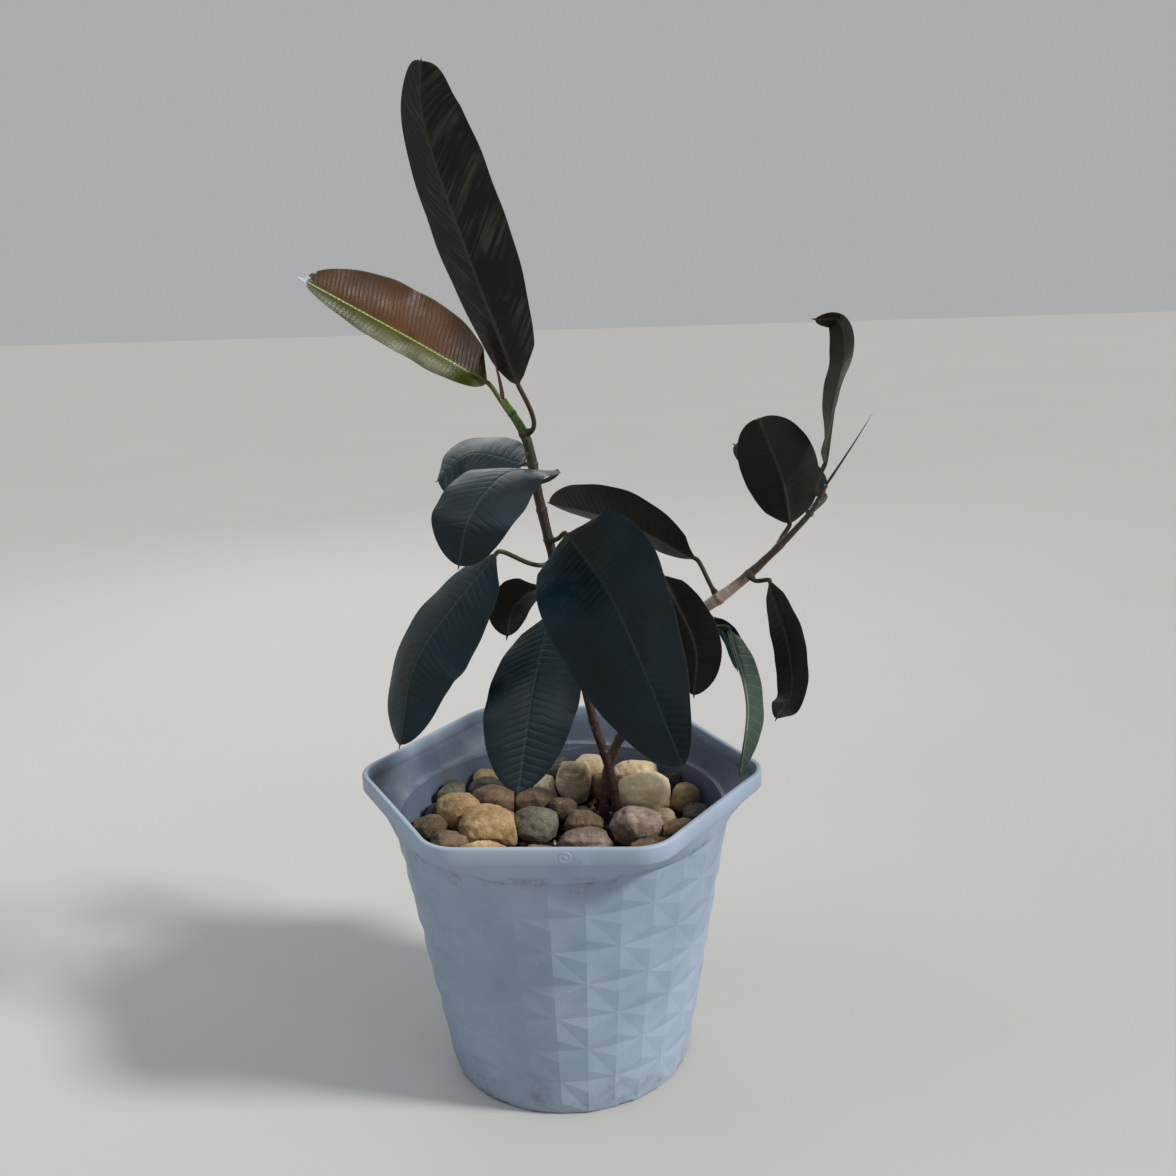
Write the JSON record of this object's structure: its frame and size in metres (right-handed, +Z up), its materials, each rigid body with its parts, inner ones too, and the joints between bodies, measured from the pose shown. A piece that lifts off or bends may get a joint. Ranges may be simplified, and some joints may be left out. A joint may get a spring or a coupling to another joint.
{
  "type": "potted rubber plant",
  "caption": "Young rubber plant with broad dark leathery leaves on upright and leaning stems, in a round tapered plastic pot with a six-sided rim, topped with river pebbles.",
  "frame": {"origin": "middle of the pot's underside", "axes": "+Z up; -Y is the front of the plant; a rounded corner of the six-sided rim points along +X"},
  "size_m": [0.3858, 0.2712, 0.739],
  "materials": {
    "pot_plastic": "satin",
    "soil": "matte",
    "bark_left": "matte",
    "bark_right": "matte",
    "bud": "satin",
    "leaf_green": "satin",
    "leaf_bronze": "satin",
    "leaf_young": "gloss",
    "stone_tan": "matte",
    "stone_cream": "matte",
    "stone_grey": "matte",
    "stone_dark": "matte",
    "stone_brown": "matte",
    "stone_speckled": "matte"
  },
  "bodies": {
    "root": {"pot": "pot_plastic", "soil": "soil", "stem_left": "bark_left", "stem_right": "bark_right", "bud_left": "bud", "bud_right": "bud", "crown_leaf": "leaf_bronze", "young_leaf": "leaf_young", "upper_back_leaf": "leaf_green", "upper_front_leaf": "leaf_green", "low_left_leaf": "leaf_green", "small_back_leaf": "leaf_green", "low_front_leaf": "leaf_green", "big_front_leaf": "leaf_green", "arching_leaf": "leaf_green", "hanging_leaf": "leaf_green", "folded_leaf": "leaf_green", "narrow_leaf": "leaf_green", "drooping_leaf": "leaf_green", "oval_leaf": "leaf_green", "twisted_leaf": "leaf_green", "hidden_leaf": "leaf_green", "pebble_01": "stone_grey", "pebble_02": "stone_dark", "pebble_03": "stone_brown", "pebble_04": "stone_tan", "pebble_05": "stone_brown", "pebble_06": "stone_brown", "pebble_07": "stone_tan", "pebble_08": "stone_grey", "pebble_09": "stone_brown", "pebble_10": "stone_tan", "pebble_11": "stone_dark", "pebble_12": "stone_cream", "pebble_13": "stone_cream", "pebble_14": "stone_dark", "pebble_15": "stone_cream", "pebble_16": "stone_brown", "pebble_17": "stone_dark", "pebble_18": "stone_brown", "pebble_19": "stone_speckled", "pebble_20": "stone_cream", "pebble_21": "stone_cream", "pebble_22": "stone_dark", "pebble_23": "stone_tan", "pebble_24": "stone_cream", "pebble_25": "stone_speckled", "pebble_26": "stone_dark", "pebble_27": "stone_brown", "pebble_28": "stone_tan", "pebble_29": "stone_tan", "pebble_30": "stone_grey", "pebble_31": "stone_brown", "pebble_32": "stone_grey", "pebble_33": "stone_brown", "pebble_34": "stone_cream", "pebble_35": "stone_tan", "pebble_36": "stone_dark", "pebble_37": "stone_tan"}
  },
  "joints": []
}
